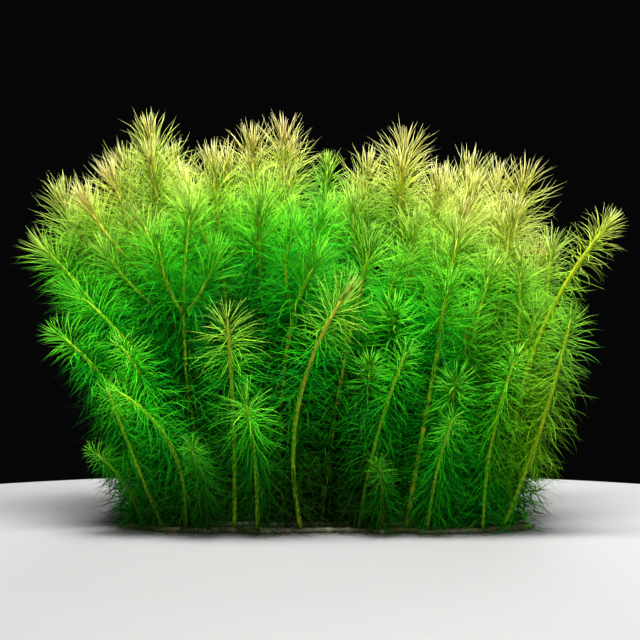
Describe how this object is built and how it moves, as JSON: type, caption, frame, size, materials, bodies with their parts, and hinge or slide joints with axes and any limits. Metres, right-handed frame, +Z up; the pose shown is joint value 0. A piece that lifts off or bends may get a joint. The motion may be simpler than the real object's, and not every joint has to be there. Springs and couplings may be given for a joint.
{
  "type": "aquarium stem plant clump",
  "caption": "Dense clump of an aquarium stem plant: upright shoots with whorls of needle leaves and pale crowns, risen from creeping stems cut off flat.",
  "frame": {"origin": "centre of the bounding box in plan, on the surface that the creeping stems rest on", "axes": "+X to the right along the creeping stems, -Y towards the picture's camera, +Z up along the shoots"},
  "size_m": [0.2902, 0.1927, 0.2035],
  "materials": {
    "shoot_foliage": "soft fresh needle leaves, yellow green with pale tips above and deep green below",
    "creeping_stem": "smooth olive brown stem"
  },
  "bodies": {
    "root": {"back_creeping_stem": "creeping_stem", "back_inner_creeping_stem": "creeping_stem", "back_inner_shoot_01": "shoot_foliage", "back_inner_shoot_02": "shoot_foliage", "back_inner_shoot_03": "shoot_foliage", "back_inner_shoot_04": "shoot_foliage", "back_inner_shoot_05": "shoot_foliage", "back_inner_shoot_06": "shoot_foliage", "back_inner_shoot_07": "shoot_foliage", "back_inner_shoot_08": "shoot_foliage", "back_inner_shoot_09": "shoot_foliage", "back_inner_shoot_10": "shoot_foliage", "back_inner_shoot_11": "shoot_foliage", "back_shoot_01": "shoot_foliage", "back_shoot_02": "shoot_foliage", "back_shoot_03": "shoot_foliage", "back_shoot_04": "shoot_foliage", "back_shoot_05": "shoot_foliage", "back_shoot_06": "shoot_foliage", "back_shoot_07": "shoot_foliage", "back_shoot_08": "shoot_foliage", "front_creeping_stem": "creeping_stem", "front_inner_creeping_stem": "creeping_stem", "front_inner_shoot_01": "shoot_foliage", "front_inner_shoot_02": "shoot_foliage", "front_inner_shoot_03": "shoot_foliage", "front_inner_shoot_04": "shoot_foliage", "front_inner_shoot_05": "shoot_foliage", "front_inner_shoot_06": "shoot_foliage", "front_inner_shoot_07": "shoot_foliage", "front_inner_shoot_08": "shoot_foliage", "front_inner_shoot_09": "shoot_foliage", "front_inner_shoot_10": "shoot_foliage", "front_inner_shoot_11": "shoot_foliage", "front_shoot_01": "shoot_foliage", "front_shoot_02": "shoot_foliage", "front_shoot_03": "shoot_foliage", "front_shoot_04": "shoot_foliage", "front_shoot_05": "shoot_foliage", "front_shoot_06": "shoot_foliage", "front_shoot_07": "shoot_foliage", "front_shoot_08": "shoot_foliage", "front_shoot_09": "shoot_foliage", "front_shoot_10": "shoot_foliage", "front_shoot_11": "shoot_foliage", "front_shoot_12": "shoot_foliage", "front_shoot_13": "shoot_foliage", "middle_creeping_stem": "creeping_stem", "middle_shoot_01": "shoot_foliage", "middle_shoot_02": "shoot_foliage", "middle_shoot_03": "shoot_foliage", "middle_shoot_04": "shoot_foliage", "middle_shoot_05": "shoot_foliage", "middle_shoot_06": "shoot_foliage", "middle_shoot_07": "shoot_foliage", "middle_shoot_08": "shoot_foliage", "middle_shoot_09": "shoot_foliage", "middle_shoot_10": "shoot_foliage", "middle_shoot_11": "shoot_foliage", "middle_shoot_12": "shoot_foliage"}
  },
  "joints": []
}
